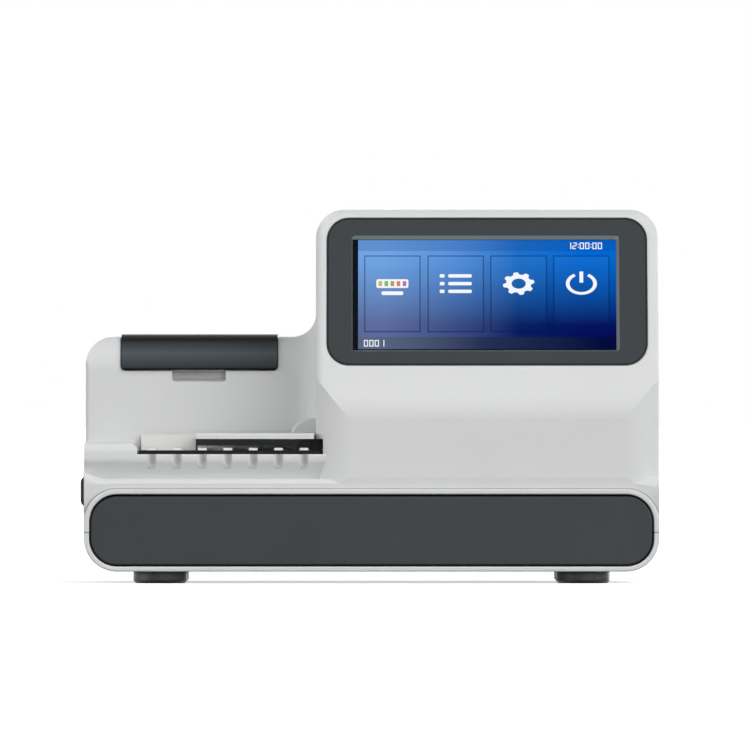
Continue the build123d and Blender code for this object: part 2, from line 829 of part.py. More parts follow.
with BuildPart() as strip_rack:
    block((rack_left, rack_notch), (rack_front, rack_back), (plate_bottom, bed_top))
    block((rack_notch - 1, rack_right), (rack_front, hood_front - 1), (plate_bottom, bed_top))
    for place in strip_places:
        rib_back = hood_front - 1.5 if place > rack_notch else rack_back - 3.6
        block(around(place, strip_width / 2), (bed_front - 0.5, rib_back), (bed_top, rib_top))
    block((rack_left, cover_left - 0.7), (rack_back - 2.9, rack_back), (bed_top, cover_top - 0.9))
    for place in slot_places:
        block((slot_left, bar_right), around(place, slot_half), (bar_low - 1, rib_top + 5), Mode.SUBTRACT)
save(strip_rack.part, "strip_rack")

with BuildPart() as strip_cover:
    block((cover_left, cover_right), (bed_front, hood_front - 0.6), (cover_under, cover_top))
    block((cover_left, rack_notch), (hood_front - 10, rack_back - 0.3), (cover_under, cover_top))
    fillet(strip_cover.edges().filter_by(Axis.X).group_by(Axis.Y)[0].sort_by(Axis.Z)[-1], nosing_radius)
    block((cover_left, rack_notch), (rack_back - 2.9, rack_back - 0.3), (bed_top, cover_under + 0.5))
save(strip_cover.part, "strip_cover")

with BuildPart() as cover_window:
    window_back = bed_front + 2
    block((cover_left, window_right), (bed_front, window_back), (rib_top + 1.4, cover_under))
    block((cover_left, cover_left + window_wall), (bed_front, window_back), (bed_top, cover_under))
    block((hood_left, window_right), (bed_front, window_back), (bed_top, cover_under))
save(cover_window.part, "cover_window")

with BuildPart() as read_platform:
    edges = [platform_front + 0.5, *around(slot_places[0], slot_half)]
    edges += [*around(slot_places[1], slot_half), platform_back - 0.4]
    for band in zip(edges[::2], edges[1::2]):
        block((platform_left, platform_right - 0.2), band, (bed_top, bed_top + 0.6))
        for place in inner_strips:
            block(around(place, strip_width / 2), band, (bed_top, rib_top))
save(read_platform.part, "read_platform")

with BuildPart() as waste_chute:
    lip = chute_wall
    block((chute_left, chute_right), (chute_front, chute_back), (tray_top + 2, chute_top))
    block((chute_left - 3, chute_right + 3), (chute_front - 3, chute_back + 2), (deck, deck + lip))
    block((chute_right - lip, chute_right), (chute_front, chute_back), (chute_top - 0.4, cover_under + 0.6))
    block(
        (chute_left + lip, chute_right - lip), (chute_front + lip, chute_back - lip),
        (tray_top, cover_under), Mode.SUBTRACT,
    )
save(waste_chute.part, "waste_chute")

# Walking beam below the bed: carriage on two rods, driven by a screw, and the lifting comb on it
bracket_left = (-110, -108)
bracket_right = (-14, -12)
beam_span = bracket_right[1] - bracket_left[0]
carriage = (-92, -38)
nut = (-76, -54)
post_places = [(x, y) for x in (-87, -43) for y in (-92, -58)]
with BuildPart() as comb_brackets:
    for x in (bracket_left, bracket_right):
        block(x, around(beam_middle, 43), (deck, bar_low))
        foot_end = x[0] - 8 if x == bracket_right else x[1] + 8
        for y in (beam_middle - 36, beam_middle + 36):
            block(sorted((x[0], foot_end)), around(y, 7), (deck, deck + foot_sheet))
        for y in beam_rod_places:
            rod((x[0] - 1, y, beam_rod_height), (1, 0, 0), bore_radius, 5, Mode.SUBTRACT)
        rod((x[0] - 1, beam_screw_place, beam_screw_height), (1, 0, 0), screw_bore, 5, Mode.SUBTRACT)
save(comb_brackets.part, "comb_brackets")

with BuildPart() as comb_guide_rods:
    for y in beam_rod_places:
        rod((bracket_left[0], y, beam_rod_height), (1, 0, 0), rod_radius, beam_span)
save(comb_guide_rods.part, "comb_guide_rods")

with BuildPart() as comb_motor:
    rod((bracket_left[0] - 20, beam_screw_place, beam_screw_height), (1, 0, 0), motor_radius, 20)
    rod((bracket_left[0] - 22, beam_screw_place, beam_screw_height), (1, 0, 0), 3, 3)
save(comb_motor.part, "comb_motor")

with BuildPart() as comb_leadscrew:
    rod((bracket_left[0], beam_screw_place, beam_screw_height), (1, 0, 0), rod_radius, beam_span)
save(comb_leadscrew.part, "comb_leadscrew")

solenoid = ((-74, -56), (-99, -87), (60, 69.2))
with BuildPart() as comb_carriage:
    block(carriage, (-116, -34), (63.8, 66.8))
    block((carriage[0] - 1, carriage[1] + 1), around(beam_screw_place, 4), (60, 70), Mode.SUBTRACT)
    block(nut, around(beam_screw_place, 5), around(beam_screw_height, 4))
    for y in beam_rod_places:
        for x in ((-90, -76), (-54, -40)):
            block(x, around(y, 4), (59.6, 66.8))
        rod((carriage[0] - 1, y, beam_rod_height), (1, 0, 0), bore_radius, 60, Mode.SUBTRACT)
    rod((carriage[0] - 1, beam_screw_place, beam_screw_height), (1, 0, 0), bore_radius, 60, Mode.SUBTRACT)
    block(solenoid[0], solenoid[1], (60, 70), Mode.SUBTRACT)
    for x, y in post_places:
        rod((x, y, 66), (0, 0, 1), post_radius, 8.5)
save(comb_carriage.part, "comb_carriage")

with BuildPart() as lift_solenoid:
    block(*solenoid)
    rod((middle(solenoid[0]), middle(solenoid[1]), 58), (0, 0, 1), post_radius + hole_gap, 20, Mode.SUBTRACT)
save(lift_solenoid.part, "lift_solenoid")

with BuildPart() as lift_plunger:
    rod((middle(solenoid[0]), middle(solenoid[1]), 61), (0, 0, 1), post_radius, yoke_low - 61)
save(lift_plunger.part, "lift_plunger")

with BuildPart() as transport_comb:
    block((-91, -39), (slot_places[0] - bar_half, slot_places[1] + bar_half), (yoke_low, bar_low + 0.5))
    block((-84, -46), (-84, -66), (60, 80), Mode.SUBTRACT)
    for x, y in post_places:
        rod((x, y, 60), (0, 0, 1), post_radius + running_fit, 20, Mode.SUBTRACT)
    for place in slot_places:
        block((bar_left, bar_right), around(place, bar_half), (bar_low, bar_top))
        for strip in (*strip_places, *inner_strips):
            block(around(strip, tooth_width / 2), around(place, bar_half), (bar_top, tooth_top))
save(transport_comb.part, "transport_comb")

# Reading head above the strips inside the tower
head = ((-22, 16), (-124, -100), (87, 109))
front_plate = (-131.2, -129.6)
rear_plate = (-5.6, -4)
head_span = rear_plate[1] - front_plate[0]
with BuildPart() as optics_brackets:
    block((-18, 20), front_plate, (deck, head_height + 6))
    block((-18, 4), (front_plate[0], -125), (deck, deck + foot_sheet))
    block((-22, 20), rear_plate, (deck, head_height + 10))
    block((-22, 20), (rear_plate[0], 8), (deck, deck + foot_sheet))
    for x in head_rod_places:
        rod((x, front_plate[0] - 5, head_height), (0, 1, 0), bore_radius, head_span + 10, Mode.SUBTRACT)
    rod(
        (head_screw_place, front_plate[0] - 5, head_height), (0, 1, 0),
        screw_bore, head_span + 10, Mode.SUBTRACT,
    )
save(optics_brackets.part, "optics_brackets")

with BuildPart() as head_guide_rods:
    for x in head_rod_places:
        rod((x, front_plate[0], head_height), (0, 1, 0), rod_radius, head_span)
save(head_guide_rods.part, "head_guide_rods")

with BuildPart() as head_leadscrew:
    rod((head_screw_place, front_plate[0], head_height), (0, 1, 0), rod_radius, head_span)
save(head_leadscrew.part, "head_leadscrew")

with BuildPart() as head_motor:
    rod((head_screw_place, rear_plate[1], head_height), (0, 1, 0), motor_radius, 20)
    rod((head_screw_place, rear_plate[1] + 19, head_height), (0, 1, 0), 3, 3)
save(head_motor.part, "head_motor")

with BuildPart() as optical_head:
    block(*head)
    fillet(optical_head.edges().filter_by(Axis.Z), 2)
    for x in (*head_rod_places, head_screw_place):
        rod((x, -150, head_height), (0, 1, 0), bore_radius, 100, Mode.SUBTRACT)
save(optical_head.part, "optical_head")

with BuildPart() as head_lens:
    rod((inner_strips[1], middle(head[1]), head[2][0] - 1.8), (0, 0, 1), 6, 1.8)
    rod((inner_strips[1], middle(head[1]), head[2][0] - 2), (0, 0, 1), 4, 0.8, Mode.SUBTRACT)
save(head_lens.part, "head_lens")

# Printer: lid, platen roller that comes up with it, paper roll in its well, frame with the print head
arms = ((-139, -136.5), (-68.5, -66))
with BuildPart() as printer_lid:
    outer = [(block_front - lid_proud, grip_bottom), (block_front - lid_proud, block_top + lid_proud)]
    outer += [(lid_back, block_top + lid_proud), (lid_back, grip_bottom)]
    prism(seen_from_side(lid_left), outer, [0, block_edge_radius + lid_proud, 0, 0], lid_right - lid_left)
    face = [
        (lid_left, lid_bottom), (lid_right, lid_bottom),
        (lid_right, block_top + lid_proud), (lid_left, block_top + lid_proud),
    ]
    prism(
        seen_from_front(lid_back), face, [lid_corner, lid_corner, lid_edge_radius, lid_edge_radius],
        lid_back - block_front + 10, Mode.INTERSECT,
    )
    inside = lid_wall - lid_proud
    hollow = [(block_front + inside, grip_bottom), (block_front + inside, block_top - inside)]
    hollow += [(lid_back + 20, block_top - inside), (lid_back + 20, grip_bottom)]
    prism(
        seen_from_side(lid_left - 1), hollow, [0, block_edge_radius - inside, 0, 0],
        lid_right - lid_left + 2, Mode.SUBTRACT,
    )
    block((lid_left, lid_right), (lid_back - 1, hinge_y), (block_top - inside, block_top + lid_proud))
    rod((lid_left, hinge_y, hinge_height), (1, 0, 0), knuckle_radius, lid_right - lid_left)
    block(
        (lid_left - 1, lid_right + 1), (hinge_y + knuckle_radius, hinge_y + knuckle_radius + 3),
        (hinge_height - 5, hinge_height + 5), Mode.SUBTRACT,
    )
    for x in arms:
        block(x, (platen_y - 4, platen_y + 4), (platen_height - 3, block_top - inside + 0.5))
        rod((x[0] - 1, platen_y, platen_height), (1, 0, 0), axle_radius + running_fit, 5, Mode.SUBTRACT)
    rod((lid_left - 1, hinge_y, hinge_height), (1, 0, 0), pin_bore, lid_right - lid_left + 2, Mode.SUBTRACT)
save(printer_lid.part, "printer_lid")

with BuildPart() as lid_hinge_pin:
    pin_length = lid_right - lid_left + 2 * pin_end
    rod((lid_left - pin_end, hinge_y, hinge_height), (1, 0, 0), pin_radius, pin_length)
save(lid_hinge_pin.part, "lid_hinge_pin")

with BuildPart() as platen_roller:
    rod((roll_left, platen_y, platen_height), (1, 0, 0), platen_radius, roll_width)
    rod((roll_left - 1, platen_y, platen_height), (1, 0, 0), axle_radius, roll_width + 2, Mode.SUBTRACT)
save(platen_roller.part, "platen_roller")

with BuildPart() as platen_axle:
    rod((arms[0][0] - 3.5, platen_y, platen_height), (1, 0, 0), axle_radius, arms[1][1] - arms[0][0] + 4.5)
save(platen_axle.part, "platen_axle")

with BuildPart() as platen_gear:
    gear_x = arms[0][0] - 3
    rod((gear_x, platen_y, platen_height), (1, 0, 0), 3.8, 2.5)
    with BuildSketch(Plane(origin=(gear_x, platen_y, platen_height), z_dir=(1, 0, 0))) as teeth:
        with PolarLocations(4.2, 16):
            Rectangle(1.6, 0.8)
    extrude(teeth.sketch, amount=2.5)
    rod((gear_x - 1, platen_y, platen_height), (1, 0, 0), axle_radius, 5, Mode.SUBTRACT)
save(platen_gear.part, "platen_gear")

cheeks = ((-135.5, -133.5), (-71.5, -69.5))
with BuildPart() as printer_frame:
    for x in cheeks:
        block(x, (6, 62), (deck, well_top))
        block(x, (9.5, 19), (well_top - 1, 127.2))
        foot_end = x[0] - 6 if x == cheeks[0] else x[1] + 6
        block(sorted((x[0], foot_end)), (10, 58), (deck, deck + foot_sheet))
    block((cheeks[0][0], cheeks[1][1]), (9.5, 17), (119, 127.2))
save(printer_frame.part, "printer_frame")

well = roll_radius + well_gap
with BuildPart() as paper_well:
    well_x = (cheeks[0][1], cheeks[1][0])
    rod((well_x[0], roll_y, roll_height), (1, 0, 0), well + well_wall, well_x[1] - well_x[0])
    block(well_x, around(roll_y, well + well_wall), (roll_height, well_top))
    block(well_x, (0, 80), (well_top, roll_height + well + well_wall + 1), Mode.SUBTRACT)
    rod((well_x[0] - 1, roll_y, roll_height), (1, 0, 0), well, 80, Mode.SUBTRACT)
    block((well_x[0] - 1, well_x[1] + 1), around(roll_y, well), (roll_height, well_top + 1), Mode.SUBTRACT)
save(paper_well.part, "paper_well")

with BuildPart() as paper_roll:
    rod((roll_left, roll_y, roll_height), (1, 0, 0), roll_radius, roll_width)
    rod((roll_left - 1, roll_y, roll_height), (1, 0, 0), core_radius, roll_width + 2, Mode.SUBTRACT)
save(paper_roll.part, "paper_roll")

with BuildPart() as paper_core:
    core_bore = core_radius - core_wall
    rod((roll_left, roll_y, roll_height), (1, 0, 0), core_radius, roll_width)
    rod((roll_left - 1, roll_y, roll_height), (1, 0, 0), core_bore, roll_width + 2, Mode.SUBTRACT)
save(paper_core.part, "paper_core")

# Rocker switch on the left side
with BuildPart() as switch_frame:
    block(
        (left - 0.7, left), around(switch_y, switch_half_width + switch_rim),
        around(switch_height, switch_half_height + switch_rim),
    )
    block(
        (left - 0.1, left + switch_depth), around(switch_y, switch_half_width),
        around(switch_height, switch_half_height),
    )
    block(
        (left - 2, left + 6.5), around(switch_y, rocker_half_width + 0.3),
        around(switch_height, rocker_half_height + 0.6), Mode.SUBTRACT,
    )
save(switch_frame.part, "switch_frame")

with BuildPart() as power_rocker:
    x = (left - rocker_proud, left + 5.2)
    z = (switch_height - rocker_half_height, switch_height + rocker_half_height)
    points = [(x[0], z[0]), (x[1], z[0]), (x[1], z[1]), (x[0], z[1])]
    prism(seen_from_front(switch_y + rocker_half_width), points, [4, 0, 0, 4], 2 * rocker_half_width)
save(power_rocker.part, "power_rocker")

# Back panel with its inlet and ports
with BuildPart() as rear_panel:
    block(
        (panel_left + panel_fit, panel_right - panel_fit), (back - sheet_thickness, back),
        (panel_low + panel_fit, panel_high - panel_fit),
    )
    with BuildSketch(seen_from_front(back + 1)) as cuts:
        with Locations((52, 107)):
            with GridLocations(8, 1, 9, 1):
                Rectangle(3, 20)
        for place, height, half, half_height in (
            (inlet_x, inlet_height, inlet_half, inlet_half_height),
            (serial_x, port_height, 9.5, 5), (usb_x, port_height, usb_half, usb_half_height),
        ):
            with Locations((place, height)):
                Rectangle(2 * (half + panel_fit), 2 * (half_height + panel_fit))
    extrude(cuts.sketch, amount=5, mode=Mode.SUBTRACT)
save(rear_panel.part, "rear_panel")

with BuildPart() as power_inlet:
    block(around(inlet_x, 20), (back, back + 2), around(inlet_height, inlet_half_height + 2))
    block(around(inlet_x, inlet_half), (back - 22, back + 1), around(inlet_height, inlet_half_height))
    socket = [
        (inlet_x - 12, inlet_height - 8), (inlet_x + 12, inlet_height - 8), (inlet_x + 12, inlet_height + 3),
        (inlet_x + 7, inlet_height + 8), (inlet_x - 7, inlet_height + 8), (inlet_x - 12, inlet_height + 3),
    ]
    prism(seen_from_front(back + 3), socket, [1] * 6, 18, Mode.SUBTRACT)
    for across, up in ((-7, -2), (7, -2), (0, 3)):
        block(around(inlet_x + across, 1), (back - 16, back - 2), around(inlet_height + up, 2.5))
save(power_inlet.part, "power_inlet")

with BuildPart() as serial_port:
    block(around(serial_x, 15.5), (back, back + 1), around(port_height, 6.2))
    shell = [
        (serial_x - 8.5, port_height + 4.5), (serial_x - 7.2, port_height - 4.5),
        (serial_x + 7.2, port_height - 4.5), (serial_x + 8.5, port_height + 4.5),
    ]
    prism(seen_from_front(back + 1), shell, [1.5] * 4, 10)
    prism(seen_from_front(back + 3.8), shell, [1.5] * 4, 4)
    core = [
        (serial_x - 7.7, port_height + 3.8), (serial_x - 6.5, port_height - 3.8),
        (serial_x + 6.5, port_height - 3.8), (serial_x + 7.7, port_height + 3.8),
    ]
    prism(seen_from_front(back + 5), core, [1] * 4, 6, Mode.SUBTRACT)
    for row, count in ((1.4, 5), (-1.4, 4)):
        for n in range(count):
            pin_x = serial_x + (n - (count - 1) / 2) * 2.77
            rod((pin_x, back - 1.5, port_height + row), (0, 1, 0), 0.5, 4.5)
save(serial_port.part, "serial_port")

with BuildPart() as usb_port:
    block(around(usb_x, usb_half), (back - 14, back + 0.6), around(port_height, usb_half_height))
    block(
        around(usb_x, usb_half - usb_shell), (back - 12, back + 2),
        around(port_height, usb_half_height - usb_shell), Mode.SUBTRACT,
    )
    block(around(usb_x, 5), (back - 13, back - 2), (port_height + 0.3, port_height + 1.9))
save(usb_port.part, "usb_port")

with BuildPart() as power_supply:
    block((62, 152), (62, 112), (deck, deck + sheet_thickness))
    block((62, 62 + sheet_thickness), (62, 112), (deck, deck + 34))
    block((62, 152), (62, 62 + sheet_thickness), (deck, deck + 34))
    block((66, 148), (66, 110), (deck + 6, deck + 7.6))
    for x in (72, 142):
        for y in (72, 104):
            rod((x, y, deck), (0, 0, 1), 3, 6.5)
    block((80, 106), (74, 100), (deck + 7, deck + 29))
    rod((122, 80, deck + 7), (0, 0, 1), 8, 24)
    block((112, 144), (94, 106), (deck + 7, deck + 25))
save(power_supply.part, "power_supply")
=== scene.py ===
import bmesh
import bpy
import numpy as np
from math import cos, pi, radians, sin, sqrt
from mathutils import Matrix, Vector


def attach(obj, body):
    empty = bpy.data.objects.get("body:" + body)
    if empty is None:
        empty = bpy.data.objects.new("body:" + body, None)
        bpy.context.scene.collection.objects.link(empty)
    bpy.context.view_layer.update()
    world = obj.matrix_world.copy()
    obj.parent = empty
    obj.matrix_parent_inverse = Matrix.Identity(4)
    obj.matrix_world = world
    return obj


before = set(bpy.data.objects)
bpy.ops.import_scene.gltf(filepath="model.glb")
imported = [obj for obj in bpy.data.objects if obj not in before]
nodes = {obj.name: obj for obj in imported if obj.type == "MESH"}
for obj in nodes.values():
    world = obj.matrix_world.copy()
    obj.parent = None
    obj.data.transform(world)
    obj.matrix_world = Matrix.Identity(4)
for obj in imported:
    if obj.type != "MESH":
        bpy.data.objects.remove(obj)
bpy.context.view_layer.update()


# Housing: the upper shell, the lower shell and the cover of the strip table are injection moulded
# in light grey ABS. The mould's spark-eroded skin leaves a fine grain that spreads the highlights.
# The shells are screwed together from below and meet in a thin shadow line on the sides and back.


class Wire:
    """A socket among a finish's nodes, for use in sums, products and comparisons."""

    def __init__(self, tree, socket=None):
        self.tree = tree
        self.socket = socket

    def node(self, kind, *values, output=0, sockets=(), stops=(), **settings):
        """One more node: its settings and its ramp's stops, each a place and a colour, and then
        numbers, colours or wires for its first sockets and for those named or numbered."""
        made = self.tree.nodes.new(kind)
        for name, value in settings.items():
            setattr(made, name, value)
        ramp = made.color_ramp.elements if stops else ()
        for _ in stops[2:]:
            ramp.new(0.5)
        for element, (place, colour) in zip(ramp, stops):
            element.position, element.color = place, (*colour, 1)
        for key, value in [*enumerate(values), *dict(sockets).items()]:
            if isinstance(value, Wire):
                self.tree.links.new(value.socket, made.inputs[key])
            else:
                made.inputs[key].default_value = value
        return Wire(self.tree, made.outputs[output] if made.outputs else None)

    def maths(self, operation, *values):
        return self.node("ShaderNodeMath", *values, operation=operation)

    def __add__(self, other):
        return self.maths("ADD", self, other)

    def __sub__(self, other):
        return self.maths("SUBTRACT", self, other)

    def __rsub__(self, other):
        return self.maths("SUBTRACT", other, self)

    def __mul__(self, other):
        return self.maths("MULTIPLY", self, other)

    def __truediv__(self, other):
        return self.maths("DIVIDE", self, other)

    def __rtruediv__(self, other):
        return self.maths("DIVIDE", other, self)

    def __gt__(self, other):
        return self.maths("GREATER_THAN", self, other)

    def __lt__(self, other):
        return self.maths("LESS_THAN", self, other)

    def __abs__(self):
        return self.maths("ABSOLUTE", self)

    __radd__ = __add__
    __rmul__ = __mul__

    def at_least(self, other):
        """The larger of the two values."""
        return self.maths("MAXIMUM", self, other)

    def between(self, low, high):
        """1 between two limits, 0 outside them."""
        return (self > low) * (self < high)

    def climb(self, low, high):
        """0 up to the first limit, 1 from the second, straight between them."""
        return self.node("ShaderNodeMapRange", self, low, high, 0.0, 1.0)

    def tones(self, *stops):
        """A colour for each value from 0 to 1, from stops of a place and a colour."""
        return self.node("ShaderNodeValToRGB", self, stops=stops)

    def blend(self, first, second):
        """The first colour where this is 0 and the second where it is 1."""
        colours = [one if isinstance(one, Wire) else (*one, 1) for one in (first, second)]
        sockets = dict(zip((6, 7), colours))
        return self.node("ShaderNodeMix", self, output=2, sockets=sockets, data_type="RGBA")


class Finish:
    """A material made of nodes: its shader, and the place on the object that they read."""

    def __init__(self, name, colour, roughness, **constants):
        self.material = bpy.data.materials.new(name)
        self.material.use_nodes = True
        self.tree = self.material.node_tree
        self.shader = self.tree.nodes["Principled BSDF"]
        self.place = Wire(self.tree).node("ShaderNodeTexCoord", output="Object")
        constants = {"Base Color": (*colour, 1), "Roughness": roughness, **constants}
        for key, value in constants.items():
            self.shader.inputs[key.replace("_", " ")].default_value = value

    def millimetres(self):
        """The place's x, y and z in millimetres."""
        place = self.place
        return [place.node("ShaderNodeSeparateXYZ", place, output=axis) * 1000 for axis in "XYZ"]

    def frame_distance(self, across, up, radius):
        """How far a point lies outside a rounded rectangle, as seen from the front: the distance
        to the rectangle through its corners' centres, less their radius."""
        x, _, z = self.millimetres()
        past_x, past_z = (
            (abs(axis - (low + high) / 2) - ((high - low) / 2 - radius)).at_least(0.0)
            for axis, (low, high) in ((x, across), (z, up))
        )
        square = past_x * past_x + past_z * past_z
        return square.maths("SQRT", square) - radius

    def feed(self, name, wire):
        """Leads a value that varies over the surface to a socket of the shader."""
        self.tree.links.new(wire.socket, self.shader.inputs[name])

    def noise(self, size, detail=2.0, stretch=None):
        """Soft random values whose blobs are about this many metres across."""
        place = self.place
        if stretch:
            place = place.node("ShaderNodeMapping", place, sockets={"Scale": stretch})
        sockets = {"Vector": place, "Scale": 1 / size, "Detail": detail}
        return place.node("ShaderNodeTexNoise", sockets=sockets)

    def bump(self, height, strength):
        """Raises the surface where the height is 1, by up to a fifth of a millimetre."""
        sockets = {"Height": height, "Strength": strength, "Distance": 0.0002}
        self.feed("Normal", height.node("ShaderNodeBump", sockets=sockets))

    def drift(self, colour, tint):
        """The colour in broad patches, darker and lighter by this share of it."""
        darker, lighter = (
            [min(value * share, 1) for value in colour] for share in (1 - tint, 1 + tint)
        )
        return self.noise(size=0.06, detail=3.0).tones((0.3, darker), (0.7, lighter))

    def skin(self, roughness, grain, depth, spread=0.06, groove=0.0):
        """Smudges whose roughness varies by the spread, and a grain of this size in metres."""
        smudges = self.noise(size=0.013, detail=4.0)
        self.feed("Roughness", roughness - spread / 2 + smudges * spread)
        self.bump(self.noise(grain) - groove, depth)


def moulded(name, colour, roughness, grain, depth, spread=0.06, tint=0.03, **constants):
    """Moulded or painted surface: fine grain, and a tone and gloss that drift across it."""
    finish = Finish(name, colour, roughness, **constants)
    finish.feed("Base Color", finish.drift(colour, tint))
    finish.skin(roughness, grain, depth, spread)
    return finish


def wear(finish, *names):
    """Gives the CAD nodes a finish in place of what they came with."""
    for name in names:
        piece = nodes[name]
        piece.data.materials.clear()
        piece.data.materials.append(finish.material)


housing_grey = (0.69, 0.7, 0.695)
shadow_grey = (0.1, 0.1, 0.1)
seam_grey = (0.16, 0.16, 0.16)
seam_low, seam_high = 29.95, 30.45
ring_back, ring_side = -134, 165.8

housing = Finish("housing", housing_grey, roughness=0.45, Specular_IOR_Level=0.03)
x, y, z = housing.millimetres()
seam = z.between(seam_low, seam_high) * ((y > ring_back) + (abs(x) > ring_side) > 0)

# The ring round the drawer stands proud of the front, and painted shade darkens its foot all round
ring_across, ring_up, ring_radius = (-170, 170), (7, 55.7), 19.5
shadow_start, shadow_end = 0.05, 0.75
front_side = 169.6
ring_foot_shade = housing.frame_distance(ring_across, ring_up, ring_radius)
ring_foot_shade = ring_foot_shade.between(shadow_start, shadow_end) * (y < ring_back) * (abs(x) < front_side)

# Painted shade in the flutes under the strips' ends: darkest along their middle, fading out
# downwards
flute_start, flute_pitch, flute_half = -137.5, 15, 2.9
flutes_left, flutes_right, flutes_back = -134, -36, -128
flute_foot, flute_fade, flute_top = 64, 72, 76.4
flute = (x - flute_start) / flute_pitch
off_middle = abs(flute - flute.maths("FLOOR", flute) - 0.5) * flute_pitch / flute_half
flute_shade = (1 - off_middle * off_middle).at_least(0.0) * z.climb(flute_foot, flute_fade)
flute_shade = flute_shade * (z < flute_top) * (y < flutes_back) * x.between(flutes_left, flutes_right)

# Both marks are painted shade, which blends the housing's grey towards a shadow grey
shadow_share = 0.45
grey = housing.drift(housing_grey, 0.0145)
shaded = ((ring_foot_shade + flute_shade) * shadow_share).blend(grey, shadow_grey)
housing.feed("Base Color", seam.blend(shaded, seam_grey))
housing.skin(roughness=0.455, grain=0.0006, depth=0.25, spread=0.07, groove=seam * 3)
wear(housing, "upper_housing", "base_shell", "strip_cover")


# Dark panels: the drawer's front, the screen's frame and the printer's lid are moulded in the same
# slate grey ABS, with a finer grain than the housing's. The drawer's front is screwed to its tray,
# the frame is set into its recess, and the lid turns on a pin at its back.

slate_grey = (0.028, 0.034, 0.037)
gap_shade_black = (0.002, 0.002, 0.003)
shade_width = 1.0


def edged_slate(name, across, up, radius):
    """Slate grey on a rounded rectangle seen from the front, whose last millimetre all round is
    painted near black, as painted shade where its edge falls into the dark of its gap."""
    finish = Finish(name, slate_grey, roughness=0.4, Specular_IOR_Level=0.25)
    # Painted shade: the outermost millimetre of the panel is painted near black
    edge = finish.frame_distance(across, up, radius) > -shade_width
    finish.feed("Base Color", edge.blend(finish.drift(slate_grey, 0.055), gap_shade_black))
    finish.skin(roughness=0.4, grain=0.0005, depth=0.12)
    return finish


drawer_across, drawer_up, drawer_radius = (-166.5, 166.5), (10.5, 52.2), 16
bezel_across, bezel_up, bezel_radius = (-26.4, 163.2), (129.1, 216.4), 13
drawer_slate = edged_slate("drawer_slate", drawer_across, drawer_up, drawer_radius)
bezel_slate = edged_slate("bezel_slate", bezel_across, bezel_up, bezel_radius)
wear(drawer_slate, "drawer_front")
wear(bezel_slate, "screen_bezel")

# Lid: painted highlight half way down its round front, black painted shade in the gaps below and
# above
lid_low, lid_high = 126.2, 147.5
lid_painted_shade, lid_dim = (0.001, 0.001, 0.002), (0.03, 0.036, 0.04)
lid_grey, lid_painted_highlight = (0.034, 0.04, 0.043), (0.078, 0.093, 0.102)
lid_slate = Finish("lid_slate", lid_grey, roughness=0.45, Specular_IOR_Level=0.06)
lid_slate.feed("Base Color", lid_slate.millimetres()[2].climb(lid_low, lid_high).tones(
    (0.04, lid_painted_shade), (0.07, lid_grey), (0.48, lid_painted_highlight), (0.76, lid_dim), (0.84, lid_painted_shade)
))
lid_slate.skin(roughness=0.45, grain=0.0005, depth=0.12)
wear(lid_slate, "printer_lid")


# Strip table: the bed, the walking beam with its carriage and the head are milled from black acetal
# and stay matt. The rack with the strip supports and the reading platform are white acetal, which
# shows no seams. Bed, rack and cover lie loose on the table, and lift off for cleaning.

black_acetal = moulded(
    "black_acetal", (0.004, 0.004, 0.005), roughness=0.42, grain=0.0004, depth=0.1, tint=0.1,
    Specular_IOR_Level=0.12,
)
wear(black_acetal, "transport_bed", "transport_comb", "comb_carriage", "optical_head")
white_acetal = moulded(
    "white_acetal", (0.74, 0.74, 0.73), roughness=0.42, grain=0.0005, depth=0.08
)
wear(white_acetal, "strip_rack", "read_platform")


# Cover's front edge: a strip of smoked acrylic with polished faces, cemented under the cover, which
# shows the ends of the strips behind it.

smoked = Finish(
    "smoked_acrylic", (0.008, 0.009, 0.01), roughness=0.07, IOR=1.49, Alpha=0.85,
    Specular_IOR_Level=0.2,
)
smoked.feed("Roughness", 0.05 + smoked.noise(size=0.004, detail=3.0) * 0.06)
smoked.bump(smoked.noise(size=0.02), strength=0.03)
wear(smoked, "cover_window")


# Inner plastics: the drawer's tray, the chute, the paper's well and the gear are moulded in dark
# grey ABS with a plain, dull skin. Tray and chute take the used strips, the well holds the roll.

inner_plastic = moulded(
    "inner_plastic", (0.05, 0.052, 0.055), roughness=0.5, grain=0.0006, depth=0.2, tint=0.08
)
wear(inner_plastic, "drawer_tray", "waste_chute", "paper_well", "platen_gear")


# Platen and feet: black nitrile rubber. The platen is ground on its axle and a little dusty. The
# feet are moulded, with painted shade on their rounded edges, and screwed to the lower shell.

platen_rubber = moulded(
    "rubber", (0.014, 0.014, 0.015), roughness=0.27, grain=0.0005, depth=0.2, spread=0.12, tint=0.25
)
wear(platen_rubber, "platen_roller")

foot_height = 8
foot_painted_shade, foot_grey = (0.003, 0.003, 0.003), (0.15, 0.15, 0.153)
foot_rubber = Finish("foot_rubber", foot_grey, roughness=0.27, Specular_IOR_Level=0.2)
# Painted light: black painted shade on the rounded edges below and above, and a grey middle painted
# lighter than the rubber where the light falls
foot_rubber.feed("Base Color", foot_rubber.millimetres()[2].climb(0, foot_height).tones(
    (0.12, foot_painted_shade), (0.42, foot_grey), (0.66, foot_grey), (0.92, foot_painted_shade)
))
foot_rubber.skin(roughness=0.27, grain=0.0005, depth=0.2, spread=0.12)
wear(foot_rubber, "foot_front_left", "foot_front_right", "foot_rear_left", "foot_rear_right")


# Sheet metal: the chassis, the brackets and the drawer's rails are folded from zinc-plated steel,
# whose crystals show as faint patches. The chassis is screwed to ledges of the lower shell and
# carries most brackets, and the rails are fixed to the shell's walls beside the drawer.

